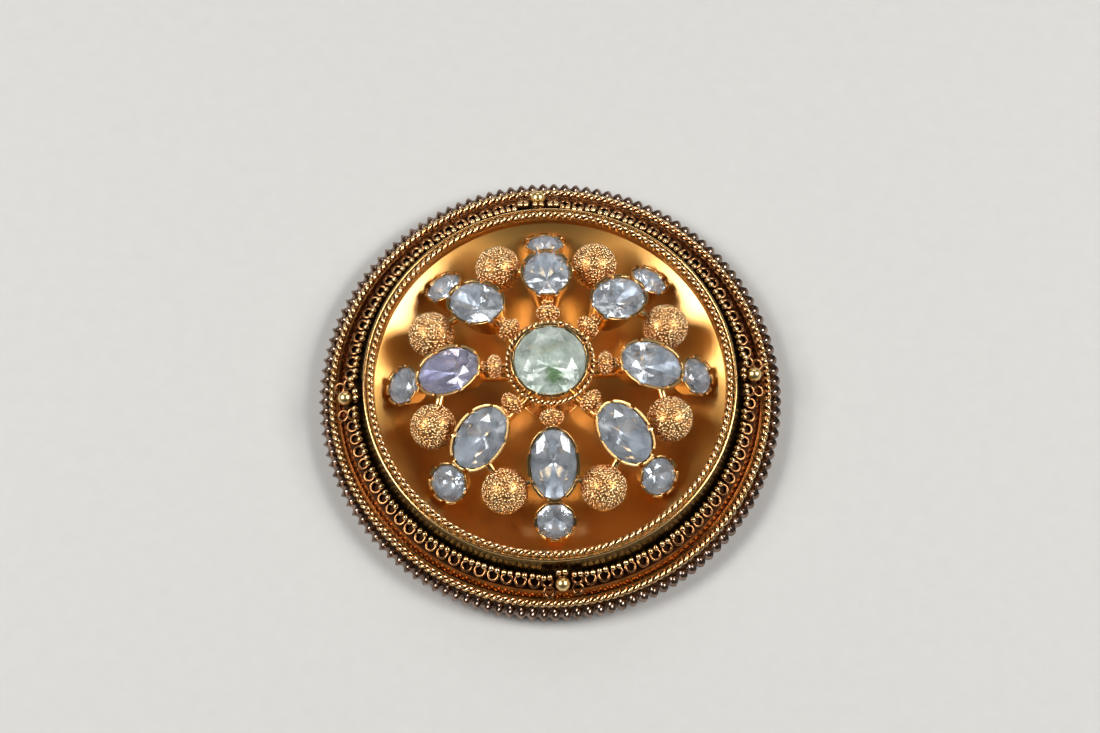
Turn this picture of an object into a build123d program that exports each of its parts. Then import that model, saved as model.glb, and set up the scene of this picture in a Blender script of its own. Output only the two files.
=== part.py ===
from build123d import *

import os
from math import atan2, cos, degrees, hypot, pi, radians, sin, tan

os.makedirs("parts", exist_ok=True)

# Disc brooch, lying face up. Millimetres. The origin is under its middle, on the surface that it
# lies on, and +Z is the way that the stones face.

# Room left between neighbouring pieces
GAP = 0.05

# Sheet metal
BACK_SHEET = 0.50
DISH_SHEET = 0.40
BORDER_SHEET = 0.30
SKIRT_WALL = 0.57

# Back case
BACK_DEPTH = 1.95
BACK_EDGE_CHAMFER = 0.20

# Dish
DISH_LIFT = 0.75
DISH_DEPTH = 2.55
RIM_STEP = 0.95
COVE_WIDTH = 6.00
RIM_MARGIN = 1.50

# Border, from the dish outwards
RIM_ROPE = 0.74
WALL_FLARE = 0.70
WALL_HOLLOW = 0.06
LIP_ROUND = 0.13
SEAT_WIDTH = 1.45
SEAT_DROP = 0.45
SHOULDER_WIDTH = 0.48
SHOULDER_DROP = 0.75
GROOVE_WIDTH = 0.16
CHAIN_WIDTH = 1.30
CHAIN_HEIGHT = 0.36
CHAIN_ROUND_SHARE = 0.45
EDGE_ROPE = 0.80
EDGE_ROPE_LEAN = 33.0
EDGE_ROPE_CLEARANCE = 0.10
EDGE_COIL = 1.60
EDGE_COIL_DROP = 0.80
GRAIN = 1.45
GRAIN_COUNT = 4
GRAIN_TURN = 3.5
GRAIN_OUTWARD = 0.12

# Flower
PETALS = 8
FLOWER_TURN = 2.0
FLOWER_LIFT = 9.15

# Stones
CENTRE_STONE = 7.15
OVAL_LENGTH = 7.00
OVAL_WIDTH = 4.60
TIP_STONE = 3.65
GIRDLE = 0.15
TABLE_SHARE = 0.60
CROWN_ANGLE = 29.0
STAR_ANGLE = 18.0
UPPER_HALF_ANGLE = 36.0
PAVILION_ANGLE = 40.0
LOWER_HALF_ANGLE = 43.0
CULET_CUT = 0.12
ROUGH_SHARE = 1.1

# Collets
STONE_CLEARANCE = 0.04
COLLET_WALL = 0.27
LIP_ABOVE_GIRDLE = 0.22
COLLET_FLOOR = 0.45
COLLET_TAPER = 18.0
HOLLOW_POINT = 0.12
NOTCH_WIDTH = 0.50
NOTCH_DEPTH = 0.42
CENTRE_NOTCHES = 8
OVAL_NOTCHES = 8
TIP_NOTCHES = 8
CENTRE_NOTCH_TURN = 28.0
PETAL_NOTCH_TURN = 22.5

# Rope round the centre collet
CENTRE_ROPE = 0.64
CENTRE_ROPE_DROP = 0.88
CENTRE_ROPE_STANDOFF = 0.28

# Small beads and their pins
BEAD = 2.80
BEAD_THICKNESS = 1.60
BEAD_ROUND = 0.72
BEAD_PIN = 0.55
BEAD_STANDOFF = 0.15
BEAD_PIN_SHOWN = 0.62
BEAD_PIN_END = 0.60

# Ovals, tips and balls, each placed from the piece before it
OVAL_DROP = 0.14
OVAL_TILT = 31.0
TIP_TUCK = 0.24
TIP_DROP = 0.64
TIP_TILT = 39.0
BALL = 4.70
BALL_STEP_OUT = 2.54
BALL_DROP = 2.90
BALL_PIN = 0.85
BALL_PIN_DEPTH = 1.15
BALL_PIN_FROM_LIP = 1.50
BALL_PIN_OUTWARD = 1.20
PIN_CLEARANCE = 0.05

# Post and arms under the flower
POST = 4.00
FOOT = 6.40
FOOT_THICKNESS = 0.50
ARM = 1.10
TIP_ARM = 0.95

# Pin and catch behind the back plate
PIN_SET_BACK = 7.00
PIN_WIRE = 0.80
PIN_REACH = 15.20
PIN_POINT = 2.40
PIN_POINT_TIP = 0.16
PIN_AXIS_HEIGHT = 0.98
HINGE_AT = 13.00
HINGE_LENGTH = 2.60
HINGE_WIDTH = 3.00
HINGE_BARREL = 1.40
MOUNT_PLATE = 0.30
CATCH_AT = 13.00
CATCH_LENGTH = 1.50
CATCH_WALL = 0.32
CATCH_CLEARANCE = 0.08
CATCH_OPENING = 80.0


def point_on_slope(radius, height, along, below, tilt):
    """A place in the radial section: along a tilted face outwards, and below it at right angles."""
    turn = radians(tilt)
    return (
        radius + along * cos(turn) - below * sin(turn),
        height - along * sin(turn) - below * cos(turn),
    )


def crown_height(width):
    return (1 - TABLE_SHARE) * width / 2 * tan(radians(CROWN_ANGLE))


def pavilion_depth(width):
    return width / 2 * tan(radians(PAVILION_ANGLE)) - CULET_CUT


def lip_half(size):
    """Half the outer size of a collet at its lip."""
    return size / 2 + STONE_CLEARANCE + COLLET_WALL


def collet_depth(width):
    """From the lip down to the underside of a collet's floor."""
    return LIP_ABOVE_GIRDLE + GIRDLE + pavilion_depth(width) + 2 * STONE_CLEARANCE + COLLET_FLOOR


# Heights from the table up
back_top = BACK_DEPTH + BACK_SHEET
flange_top = back_top + GAP + BORDER_SHEET
seat_edge_height = flange_top + SHOULDER_DROP
seat_top = seat_edge_height + SEAT_DROP
dish_floor = back_top + DISH_LIFT + DISH_SHEET
dish_rim = dish_floor + DISH_DEPTH
rim_rope_height = dish_rim + GAP + RIM_ROPE / 2
flower_lip = dish_floor + FLOWER_LIFT
centre_floor = flower_lip - collet_depth(CENTRE_STONE)

# Flower, from the centre out
centre_rope_height = flower_lip - CENTRE_ROPE_DROP
centre_cup_at_rope = lip_half(CENTRE_STONE) - CENTRE_ROPE_DROP * tan(radians(COLLET_TAPER))
centre_rope_radius = centre_cup_at_rope + CENTRE_ROPE_STANDOFF + CENTRE_ROPE / 2
bead_height = centre_rope_height - CENTRE_ROPE / 2 - GAP - BEAD_PIN / 2
bead_radius = centre_rope_radius + CENTRE_ROPE / 2 + BEAD_STANDOFF + BEAD_THICKNESS / 2
oval_inner_end = bead_radius + BEAD_THICKNESS / 2 + BEAD_PIN_SHOWN
oval_radius, oval_height = point_on_slope(
    oval_inner_end, flower_lip - OVAL_DROP, lip_half(OVAL_LENGTH), 0, OVAL_TILT
)
oval_outer_end = point_on_slope(oval_radius, oval_height, lip_half(OVAL_LENGTH), 0, OVAL_TILT)
tip_radius, tip_height = point_on_slope(
    oval_outer_end[0] - TIP_TUCK, oval_outer_end[1] - TIP_DROP, lip_half(TIP_STONE), 0, TIP_TILT
)
tip_outer_end = point_on_slope(tip_radius, tip_height, lip_half(TIP_STONE), 0, TIP_TILT)
ball_radius = oval_radius + BALL_STEP_OUT
ball_height = oval_height - BALL_DROP

# Dish and border, from the flower out
rim_rope_radius = tip_outer_end[0] + RIM_MARGIN
dish_mouth = rim_rope_radius - RIM_ROPE / 2
lip_inner = rim_rope_radius + RIM_ROPE / 2 + GAP
lip_outer = lip_inner + BORDER_SHEET
dish_edge = lip_inner - GAP
lip_top = rim_rope_height
wall_foot = lip_outer + WALL_FLARE
seat_edge = wall_foot + SEAT_WIDTH
shoulder_foot = seat_edge + SHOULDER_WIDTH
flange_edge = shoulder_foot + GROOVE_WIDTH
edge_rope_radius = flange_edge + EDGE_ROPE_CLEARANCE + EDGE_ROPE / 2
rope_to_coil = EDGE_ROPE / 2 + GAP + EDGE_COIL / 2
edge_coil_radius = edge_rope_radius + rope_to_coil * sin(radians(EDGE_ROPE_LEAN))
edge_coil_height = back_top - EDGE_COIL_DROP
edge_rope_height = edge_coil_height + rope_to_coil * cos(radians(EDGE_ROPE_LEAN))
skirt_radius = edge_coil_radius - EDGE_COIL / 2 - GAP
recess_radius = skirt_radius - SKIRT_WALL
seat_angle = degrees(atan2(SEAT_DROP, SEAT_WIDTH))
seat_middle = ((wall_foot + seat_edge) / 2, (seat_top + seat_edge_height) / 2)


def parallel(points, distance):
    """The open outline of straight runs that lies a distance to the right of the one given."""
    sides = []
    for start, end in zip(points, points[1:]):
        length = hypot(end[0] - start[0], end[1] - start[1])
        sides.append(((end[0] - start[0]) / length, (end[1] - start[1]) / length))
    moved = [(points[0][0] + sides[0][1] * distance, points[0][1] - sides[0][0] * distance)]
    for corner, before, after in zip(points[1:], sides, sides[1:]):
        turn = 1 + before[0] * after[0] + before[1] * after[1]
        across = (before[1] + after[1], -before[0] - after[0])
        moved.append((corner[0] + across[0] * distance / turn, corner[1] + across[1] * distance / turn))
    last = points[-1]
    moved.append((last[0] + sides[-1][1] * distance, last[1] - sides[-1][0] * distance))
    return moved


def spun(edges):
    """A solid turned about the upright axis from an outline of radius and height."""
    return revolve(Plane.XZ * make_face(edges), Axis.Z)


def wire_ring(radius, height, thickness):
    return Pos(0, 0, height) * Torus(radius, thickness / 2)


def back_case():
    outline = Polyline(
        (0, BACK_DEPTH),
        (recess_radius, BACK_DEPTH),
        (recess_radius, 0),
        (skirt_radius, 0),
        (skirt_radius, back_top - BACK_EDGE_CHAMFER),
        (skirt_radius - BACK_EDGE_CHAMFER, back_top),
        (0, back_top),
        close=True,
    )
    return spun(outline)


def border_wall():
    seat_and_groove = [
        (wall_foot, seat_top),
        (seat_edge, seat_edge_height),
        (shoulder_foot, flange_top),
        (flange_edge, flange_top),
    ]
    under = parallel(seat_and_groove, BORDER_SHEET)
    wall_middle = (lip_outer + wall_foot) / 2 - WALL_HOLLOW, (lip_top + seat_top) / 2
    inner_foot = (wall_foot - BORDER_SHEET, under[0][1])
    outline = [
        ThreePointArc((lip_outer, lip_top), wall_middle, (wall_foot, seat_top)),
        Polyline(*seat_and_groove, *reversed(under[1:]), inner_foot),
        ThreePointArc(
            inner_foot,
            (wall_middle[0] - BORDER_SHEET, wall_middle[1]),
            (lip_inner, lip_top),
        ),
        Line((lip_inner, lip_top), (lip_outer, lip_top)),
    ]
    wall = spun(outline)
    lip_edges = wall.edges().filter_by_position(Axis.Z, lip_top - GAP, lip_top + GAP)
    return fillet(lip_edges, LIP_ROUND)


def dish():
    """Flat in its middle, curving up in a shallow cove to a small upright step under the rope."""
    flat = dish_mouth - COVE_WIDTH
    cove_depth = DISH_DEPTH - RIM_STEP
    cove = (COVE_WIDTH ** 2 + cove_depth ** 2) / (2 * cove_depth)
    rise = dish_floor + cove
    lean = atan2(COVE_WIDTH, cove - cove_depth)
    under_cove = (
        flat + (cove + DISH_SHEET) * sin(lean),
        rise - (cove + DISH_SHEET) * cos(lean),
    )
    outline = [
        Polyline((0, dish_floor - DISH_SHEET), (0, dish_floor), (flat, dish_floor)),
        TangentArc((flat, dish_floor), (dish_mouth, dish_rim - RIM_STEP), tangent=(1, 0)),
        Polyline(
            (dish_mouth, dish_rim - RIM_STEP),
            (dish_mouth, dish_rim),
            (dish_edge, dish_rim),
            (dish_edge, dish_rim - DISH_SHEET),
            (dish_mouth + DISH_SHEET, dish_rim - DISH_SHEET),
            under_cove,
        ),
        TangentArc((flat, dish_floor - DISH_SHEET), under_cove, tangent=(1, 0)),
        Line((flat, dish_floor - DISH_SHEET), (0, dish_floor - DISH_SHEET)),
    ]
    return spun(outline)


def ring_chain():
    """The band that the small rings lie in, flat on the sloping seat."""
    above_seat = GAP + CHAIN_HEIGHT / 2
    centre = point_on_slope(seat_middle[0], seat_middle[1], 0, -above_seat, seat_angle)
    band = RectangleRounded(CHAIN_WIDTH, CHAIN_HEIGHT, CHAIN_HEIGHT * CHAIN_ROUND_SHARE)
    section = Plane.XZ * Pos(centre[0], centre[1]) * Rot(0, 0, -seat_angle) * band
    return revolve(section, Axis.Z)


def grain_place():
    """A grain sits on the ring chain, a little out from its middle."""
    above_seat = GAP + CHAIN_HEIGHT + GAP + GRAIN / 2
    return point_on_slope(
        seat_middle[0], seat_middle[1], GRAIN_OUTWARD, -above_seat, seat_angle
    )


def facet_faces(width):
    """Each facet plane of a round brilliant: angle round, slope from the girdle plane, a point on
    it as radius and height, and whether it lies on the crown."""
    corner = width / 2
    edge = corner * cos(pi / (2 * PETALS))
    table_edge = corner * TABLE_SHARE * cos(pi / PETALS)
    step = 360 / PETALS
    faces = []
    for number in range(PETALS):
        main = number * step
        faces.append((main, CROWN_ANGLE, corner, GIRDLE / 2, True))
        faces.append((main + step / 2, STAR_ANGLE, table_edge, GIRDLE / 2 + crown_height(width), True))
        faces.append((main, PAVILION_ANGLE, corner, -GIRDLE / 2, False))
        for side in (-1, 1):
            half = main + side * step / 4
            faces.append((half, UPPER_HALF_ANGLE, edge, GIRDLE / 2, True))
            faces.append((half, LOWER_HALF_ANGLE, edge, -GIRDLE / 2, False))
            faces.append((half, 90.0, edge, 0, True))
    return faces


def cut_stone(length, width):
    """A brilliant cut to a round or an oval outline, its girdle at height 0 and its table up."""
    stretch = length / width
    top = GIRDLE / 2 + crown_height(width)
    bottom = GIRDLE / 2 + pavilion_depth(width)
    rough = Pos(0, 0, (top - bottom) / 2) * Box(
        length * ROUGH_SHARE, width * ROUGH_SHARE, top + bottom
    )
    for angle, slope, radius, height, upper in facet_faces(width):
        turn = radians(angle)
        lean = radians(slope)
        rise = cos(lean) if upper else -cos(lean)
        outward = Vector(sin(lean) * cos(turn) / stretch, sin(lean) * sin(turn), rise)
        place = Vector(radius * cos(turn) * stretch, radius * sin(turn), height)
        rough = split(rough, bisect_by=Plane(origin=place, z_dir=outward), keep=Keep.BOTTOM)
    return rough


def oval_face(length, width, height):
    if length == width:
        return Pos(0, 0, height) * Circle(length / 2)
    return Pos(0, 0, height) * Ellipse(length / 2, width / 2)


def collet_body(length, width, notches, turn):
    """The outside of a collet, its lip at height 0, cut down with notches between the claws."""
    depth = collet_depth(width)
    narrow = 2 * depth * tan(radians(COLLET_TAPER))
    outer_length = 2 * lip_half(length)
    outer_width = 2 * lip_half(width)
    floor_face = oval_face(outer_length - narrow, outer_width - narrow, -depth)
    body = loft([floor_face, oval_face(outer_length, outer_width, 0)], ruled=True)
    for number in range(notches):
        angle = radians(turn + number * 360 / notches)
        place = (outer_length / 2 * cos(angle), outer_width / 2 * sin(angle))
        across = degrees(atan2(place[1] / outer_width ** 2, place[0] / outer_length ** 2))
        cutter = Box(4 * COLLET_WALL, NOTCH_WIDTH, 2 * NOTCH_DEPTH)
        body -= Pos(place[0], place[1], 0) * Rot(0, 0, across) * cutter
    return body


def collet_hollow(length, width):
    """The room for a stone in its collet: open above, with a seat for its girdle and pavilion."""
    clear = 2 * STONE_CLEARANCE
    girdle_low = -LIP_ABOVE_GIRDLE - GIRDLE - STONE_CLEARANCE
    bottom = girdle_low - pavilion_depth(width) - STONE_CLEARANCE
    culet = HOLLOW_POINT * width
    rim = oval_face(length + clear, width + clear, girdle_low)
    point = oval_face(culet * length / width, culet, bottom)
    return extrude(rim, amount=-girdle_low + width / 2) + loft([point, rim], ruled=True)


def round_bar(start, end, thickness):
    run = Vector(*end) - Vector(*start)
    bar = Cylinder(thickness / 2, run.length, align=(Align.CENTER, Align.CENTER, Align.MIN))
    return Plane(origin=start, z_dir=run).location * bar


def petal_turn(number):
    return FLOWER_TURN + number * 360 / PETALS


def ball_turn(number):
    return petal_turn(number) + 180 / PETALS


def centre_place():
    return Pos(0, 0, flower_lip)


def oval_place(number):
    return Rot(0, 0, petal_turn(number)) * Pos(oval_radius, 0, oval_height) * Rot(0, OVAL_TILT, 0)


def tip_place(number):
    return Rot(0, 0, petal_turn(number)) * Pos(tip_radius, 0, tip_height) * Rot(0, TIP_TILT, 0)


def ball_centre():
    return ball_radius, 0, ball_height


def ball_pin_starts():
    """Where the pins of one ball begin, inside the collets at its two sides, seen from the ball."""
    radius, height = point_on_slope(
        oval_radius, oval_height, BALL_PIN_OUTWARD, BALL_PIN_FROM_LIP, OVAL_TILT
    )
    aside = radians(180 / PETALS)
    return [(radius * cos(aside), side * radius * sin(aside), height) for side in (-1, 1)]


def ball_pin_end(start, depth):
    """The place on the line to the ball's centre that lies a depth inside its surface."""
    centre = Vector(*ball_centre())
    back = (Vector(*start) - centre).normalized()
    end = centre + back * (BALL / 2 - depth)
    return end.X, end.Y, end.Z


def ball_pins():
    return [round_bar(start, ball_pin_end(start, BALL_PIN_DEPTH), BALL_PIN) for start in ball_pin_starts()]


def petal_arms():
    """Under one petal: the arm from the post to the oval collet, the arm on to the tip collet and
    the pin that carries the small bead."""
    oval_low = point_on_slope(
        oval_radius, oval_height, 0, collet_depth(OVAL_WIDTH) - COLLET_FLOOR / 2, OVAL_TILT
    )
    tip_low = point_on_slope(
        tip_radius, tip_height, 0, collet_depth(TIP_STONE) - COLLET_FLOOR / 2, TIP_TILT
    )
    post_at = (0, 0, centre_floor - ARM / 2)
    bead_pin_end = bead_radius + BEAD_THICKNESS / 2 + BEAD_PIN_END + BEAD_PIN_SHOWN / 2
    return [
        round_bar(post_at, (oval_low[0], 0, oval_low[1]), ARM),
        round_bar((oval_low[0], 0, oval_low[1]), (tip_low[0], 0, tip_low[1]), TIP_ARM),
        round_bar((0, 0, bead_height), (bead_pin_end, 0, bead_height), BEAD_PIN),
    ]


def cluster_frame():
    """All the soldered metalwork of the flower, one solid."""
    foot_low = dish_floor + GAP
    post = Pos(0, 0, foot_low) * Cylinder(
        POST / 2, centre_floor - foot_low + COLLET_FLOOR / 2, align=(Align.CENTER, Align.CENTER, Align.MIN)
    )
    foot = Pos(0, 0, foot_low) * Cylinder(
        FOOT / 2, FOOT_THICKNESS, align=(Align.CENTER, Align.CENTER, Align.MIN)
    )
    metal = [post, foot]
    centre_collet = collet_body(CENTRE_STONE, CENTRE_STONE, CENTRE_NOTCHES, CENTRE_NOTCH_TURN)
    metal.append(centre_place() * centre_collet)
    oval_collet = collet_body(OVAL_LENGTH, OVAL_WIDTH, OVAL_NOTCHES, PETAL_NOTCH_TURN)
    tip_collet = collet_body(TIP_STONE, TIP_STONE, TIP_NOTCHES, PETAL_NOTCH_TURN)
    arms = petal_arms()
    pins = ball_pins()
    hollows = [centre_place() * collet_hollow(CENTRE_STONE, CENTRE_STONE)]
    oval_hollow = collet_hollow(OVAL_LENGTH, OVAL_WIDTH)
    tip_hollow = collet_hollow(TIP_STONE, TIP_STONE)
    for number in range(PETALS):
        metal.append(oval_place(number) * oval_collet)
        metal.append(tip_place(number) * tip_collet)
        metal.extend(Rot(0, 0, petal_turn(number)) * arm for arm in arms)
        metal.extend(Rot(0, 0, ball_turn(number)) * pin for pin in pins)
        hollows.append(oval_place(number) * oval_hollow)
        hollows.append(tip_place(number) * tip_hollow)
    return Part() + metal - hollows


def gold_ball():
    """One large ball on the X axis, with a socket for each of its two pins."""
    ball = Pos(*ball_centre()) * Sphere(BALL / 2)
    for start in ball_pin_starts():
        inside = ball_pin_end(start, BALL_PIN_DEPTH + PIN_CLEARANCE)
        ball -= round_bar(inside, start, BALL_PIN + 2 * PIN_CLEARANCE)
    return ball


def bead():
    """One small bead on the X axis, drilled for its pin."""
    disc = Cylinder(BEAD / 2, BEAD_THICKNESS)
    disc = fillet(disc.edges().filter_by(GeomType.CIRCLE), BEAD_ROUND)
    disc -= Cylinder(BEAD_PIN / 2 + PIN_CLEARANCE, 2 * BEAD_THICKNESS)
    return Pos(bead_radius, 0, bead_height) * Rot(0, 90, 0) * disc


def pin_stem():
    """Hinge block and pin wire in one plain piece, under the back plate."""
    top = BACK_DEPTH - GAP
    plate = Pos(-HINGE_AT, PIN_SET_BACK, top - MOUNT_PLATE / 2) * Box(
        HINGE_LENGTH, HINGE_WIDTH, MOUNT_PLATE
    )
    cheek_height = top - PIN_AXIS_HEIGHT
    cheeks = Pos(-HINGE_AT, PIN_SET_BACK, PIN_AXIS_HEIGHT + cheek_height / 2) * Box(
        HINGE_BARREL, HINGE_WIDTH, cheek_height
    )
    barrel = Pos(-HINGE_AT, PIN_SET_BACK, PIN_AXIS_HEIGHT) * Rot(90, 0, 0) * Cylinder(
        HINGE_BARREL / 2, HINGE_WIDTH
    )
    neck = PIN_REACH - PIN_POINT
    wire = round_bar(
        (-HINGE_AT, PIN_SET_BACK, PIN_AXIS_HEIGHT), (neck, PIN_SET_BACK, PIN_AXIS_HEIGHT), PIN_WIRE
    )
    point = Pos(neck + PIN_POINT / 2, PIN_SET_BACK, PIN_AXIS_HEIGHT) * Rot(0, 90, 0) * Cone(
        PIN_WIRE / 2, PIN_POINT_TIP / 2, PIN_POINT
    )
    return plate + cheeks + barrel + wire + point


def catch():
    """A C-shaped hook round the pin's end, open to one side, on a small plate."""
    top = BACK_DEPTH - GAP
    bore = PIN_WIRE / 2 + CATCH_CLEARANCE
    outside = bore + CATCH_WALL
    lying = Rot(0, 90, 0)
    hook = lying * (Cylinder(outside, CATCH_LENGTH) - Cylinder(bore, 2 * CATCH_LENGTH))
    mouth_height = 2 * bore * sin(radians(CATCH_OPENING / 2))
    hook -= Pos(0, -outside, 0) * Box(2 * CATCH_LENGTH, 2 * outside, mouth_height)
    web_height = top - PIN_AXIS_HEIGHT - bore
    web = Pos(0, 0, bore + web_height / 2) * Box(CATCH_LENGTH, bore * 2, web_height)
    plate = Pos(0, 0, top - PIN_AXIS_HEIGHT - MOUNT_PLATE / 2) * Box(
        CATCH_LENGTH + 2 * CATCH_WALL, HINGE_WIDTH, MOUNT_PLATE
    )
    hook = hook + web + plate - lying * Cylinder(bore, 2 * CATCH_LENGTH)
    return Pos(CATCH_AT, PIN_SET_BACK, PIN_AXIS_HEIGHT) * hook


def around(turn, piece):
    """A piece made on the X axis, turned to its place round the middle."""
    return Rot(0, 0, turn) * piece


def all_pieces():
    pieces = {
        "back_case": back_case(),
        "pin_stem": pin_stem(),
        "catch": catch(),
        "border_wall": border_wall(),
        "dish": dish(),
        "rim_rope": wire_ring(rim_rope_radius, rim_rope_height, RIM_ROPE),
        "ring_chain": ring_chain(),
        "edge_rope": wire_ring(edge_rope_radius, edge_rope_height, EDGE_ROPE),
        "edge_coil": wire_ring(edge_coil_radius, edge_coil_height, EDGE_COIL),
        "centre_rope": wire_ring(centre_rope_radius, centre_rope_height, CENTRE_ROPE),
        "cluster_frame": cluster_frame(),
    }
    grain_radius, grain_height = grain_place()
    grain = Pos(grain_radius, 0, grain_height) * Sphere(GRAIN / 2)
    for number in range(GRAIN_COUNT):
        pieces[f"quarter_grain_{number + 1}"] = around(GRAIN_TURN + number * 360 / GRAIN_COUNT, grain)
    girdle_below_lip = Pos(0, 0, -LIP_ABOVE_GIRDLE - GIRDLE / 2)
    pieces["centre_stone"] = (
        centre_place() * girdle_below_lip * Rot(0, 0, FLOWER_TURN) * cut_stone(CENTRE_STONE, CENTRE_STONE)
    )
    oval = cut_stone(OVAL_LENGTH, OVAL_WIDTH)
    tip = cut_stone(TIP_STONE, TIP_STONE)
    ball = gold_ball()
    small_bead = bead()
    for number in range(PETALS):
        name = number + 1
        pieces[f"oval_stone_{name}"] = oval_place(number) * girdle_below_lip * oval
        pieces[f"tip_stone_{name}"] = tip_place(number) * girdle_below_lip * tip
        pieces[f"gold_ball_{name}"] = around(ball_turn(number), ball)
        pieces[f"bead_{name}"] = around(petal_turn(number), small_bead)
    return pieces


for name, piece in all_pieces().items():
    export_step(piece, f"parts/{name}.step")
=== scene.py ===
from collections import namedtuple
from math import atan2, cos, hypot, pi, radians, sin

import bpy
from mathutils import Matrix, Vector


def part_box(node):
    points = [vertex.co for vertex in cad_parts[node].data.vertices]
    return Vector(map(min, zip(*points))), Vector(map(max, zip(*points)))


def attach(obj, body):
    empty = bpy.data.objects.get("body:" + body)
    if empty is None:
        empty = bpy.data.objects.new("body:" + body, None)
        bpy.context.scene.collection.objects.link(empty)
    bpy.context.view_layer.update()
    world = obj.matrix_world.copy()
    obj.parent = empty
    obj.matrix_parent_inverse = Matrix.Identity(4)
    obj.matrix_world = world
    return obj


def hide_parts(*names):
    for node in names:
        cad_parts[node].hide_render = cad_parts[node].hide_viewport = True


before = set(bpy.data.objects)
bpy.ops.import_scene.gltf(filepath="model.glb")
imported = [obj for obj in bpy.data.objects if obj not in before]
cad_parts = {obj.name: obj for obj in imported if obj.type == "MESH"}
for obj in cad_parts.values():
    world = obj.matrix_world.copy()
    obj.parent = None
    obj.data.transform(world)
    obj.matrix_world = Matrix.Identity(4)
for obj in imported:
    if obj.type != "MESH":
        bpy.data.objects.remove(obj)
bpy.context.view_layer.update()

bl_info = {
    "name": "Disc brooch",
    "version": (1, 0, 0),
    "blender": (4, 5, 0),
    "location": "View3D > Sidebar > Brooch",
    "description": "Dresses the packed disc brooch with its wirework, granules, stones and gilding",
    "category": "Object",
}

MM = 0.001
BODY = "root"
PETALS = 8
QUARTERS = 4
LILAC_NODE = "oval_stone_5"
LEFT_HAND = -1

# Points that lie closer than this are one, on any piece and at the seams of a twisted one
SAME_POINT = 0.002 * MM
SEAM = 0.004 * MM

# Angles in degrees past which an edge is shaded as a crease: none is on a round piece
ROUND = 180
SHEET_CREASE = 25
CUP_CREASE = 30
STRIP_CREASE = 55

# Wires in a rope, sides of a wire and of the coil's strip, and steps in one turn of their twist
ROPE_WIRES = 2
ROPE_SIDES = 8
ROPE_STEPS = 12
STRIP_SIDES = 12
STRIP_STEPS = 28

# Steps in each quarter of the circle that a twisted piece is bent round
TRACK_RESOLUTION = 96

# How far down the border wall its lip gets the brighter cup gilding as a painted highlight, and how level
# the seat of the rings lies
HIGHLIGHT_LIP_DEPTH = 0.14 * MM
SEAT_LEVEL = 0.9

# The granules on a small ring: their length in widths, and how far inwards they sit in rings
LONG_GRAIN = 1.15
GRAIN_INWARD = 0.41

# Places in the chain that each quarter grain and its rings take up
GRAIN_PLACES = 3

# How unlike each other the rings are: turned either way, the smallest and largest, and how far those
# round a quarter grain lean together
LINK_TWIST = radians(5)
LINK_SPREAD = (0.95, 1.04)
SETTING_LEAN = radians(2)

# Granules and ringlets: the smallest and largest, how far apart they lie in their own widths, how
# much of a granule stands out of its ball, and the lean of a ringlet in radians
GRANULE_SPREAD = (0.82, 1.12)
BALL_PACKING = 1.02
BEAD_PACKING = 0.9
GRANULE_STANDS = 0.55
RINGLET_LEAN = 0.35

# More places to the square metre than granules fit, so that only their distance spaces them
SOWING_DENSITY = 60 / MM ** 2

# In half widths of a bead: its core's radius, its knob's radius and where the knob begins. The core
# is flattened along the pin
BEAD_CORE = 0.82
KNOB = 0.46
KNOB_ROOT = 0.5
BEAD_FLAT = 0.62

# In radii of the knob: its core's radius, and how far out its middle lies
KNOB_CORE = 0.8
KNOB_OUT = 0.7

# How alike two normals of a stone are: a table and straight up at the least, two faces of the same
# facet, and a facet that the foil backs and the table at the most
TABLE_LOOKS_UP = 0.3
SAME_FACET = 0.9999
LOWER_SIDE = -0.2

# How open to the sky a place between wires is: full patina and painted shade, and none
SHADE_AND_PATINA_OPEN = (0.25, 0.75)

# Beryl: its index, what clear and milky places let through, where in its pattern the clouds begin
# and are full, the width of its feathers and how deep the wear ripples its facets
BERYL_IOR = 1.577
CLEAR_TO_MILKY = (0.97, 0.78)
CENTRE_CLEAR_TO_MILKY = (0.90, 0.62)
CLOUD_SPREAD = (0.08, 0.38)
FEATHER_MM = 0.9
FACET_RIPPLE = 0.014 * MM

# The mossy patch in the middle stone: its middle from above, how ragged it is, where it begins to
# thin out and where it ends, its share of the colour, and the width of its flecks
MOSS_AT = Vector((0.5, -1.7, 0.0)) * MM
MOSS_RAGGED = 1.6 * MM
MOSS_THINS = 1.3 * MM
MOSS_ENDS = 2.0 * MM
MOSS_SHARE = 0.85
MOSS_FLECK_MM = 0.45

# Creases in the foil: their width and their depth
CREASE_MM = 0.6
CREASE_DEPTH = 0.10 * MM

# The lacquer over the dish
LACQUER = 1.0
LACQUER_ROUGHNESS = 0.25

# The floor's side in metres, the strength of the light from all round, and the sensor in millimetres
FLOOR_SIDE = 1.6
SKY_STRENGTH = 0.10
SENSOR_WIDTH = 36

SoftBox = namedtuple("SoftBox", "name place width depth watts")

# Soft boxes in metres, placed so that the dish mirrors them: one on each side, a weaker one behind
SOFT_BOXES = (
    SoftBox("left_box", (-0.305, -0.008, 0.33), 0.24, 0.17, 2.0),
    SoftBox("right_box", (0.31, 0.005, 0.33), 0.24, 0.17, 2.0),
    SoftBox("back_box", (0.0, 0.44, 0.30), 0.40, 0.14, 0.5),
)

CrowdingRing = namedtuple("CrowdingRing", "outwards aside up lean sides grained")

# Rings that crowd a quarter grain, one behind it and two on each side, placed in halves of a ring
CROWDING_RINGS = (
    CrowdingRing(-0.95, 0.0, 1.25, radians(60), (1,), True),
    CrowdingRing(-0.15, 2.25, 0.60, radians(32), (-1, 1), True),
    CrowdingRing(1.20, 2.10, -0.20, radians(25), (-1, 1), False),
)

Ring = namedtuple("Ring", "radius height thickness")


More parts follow.
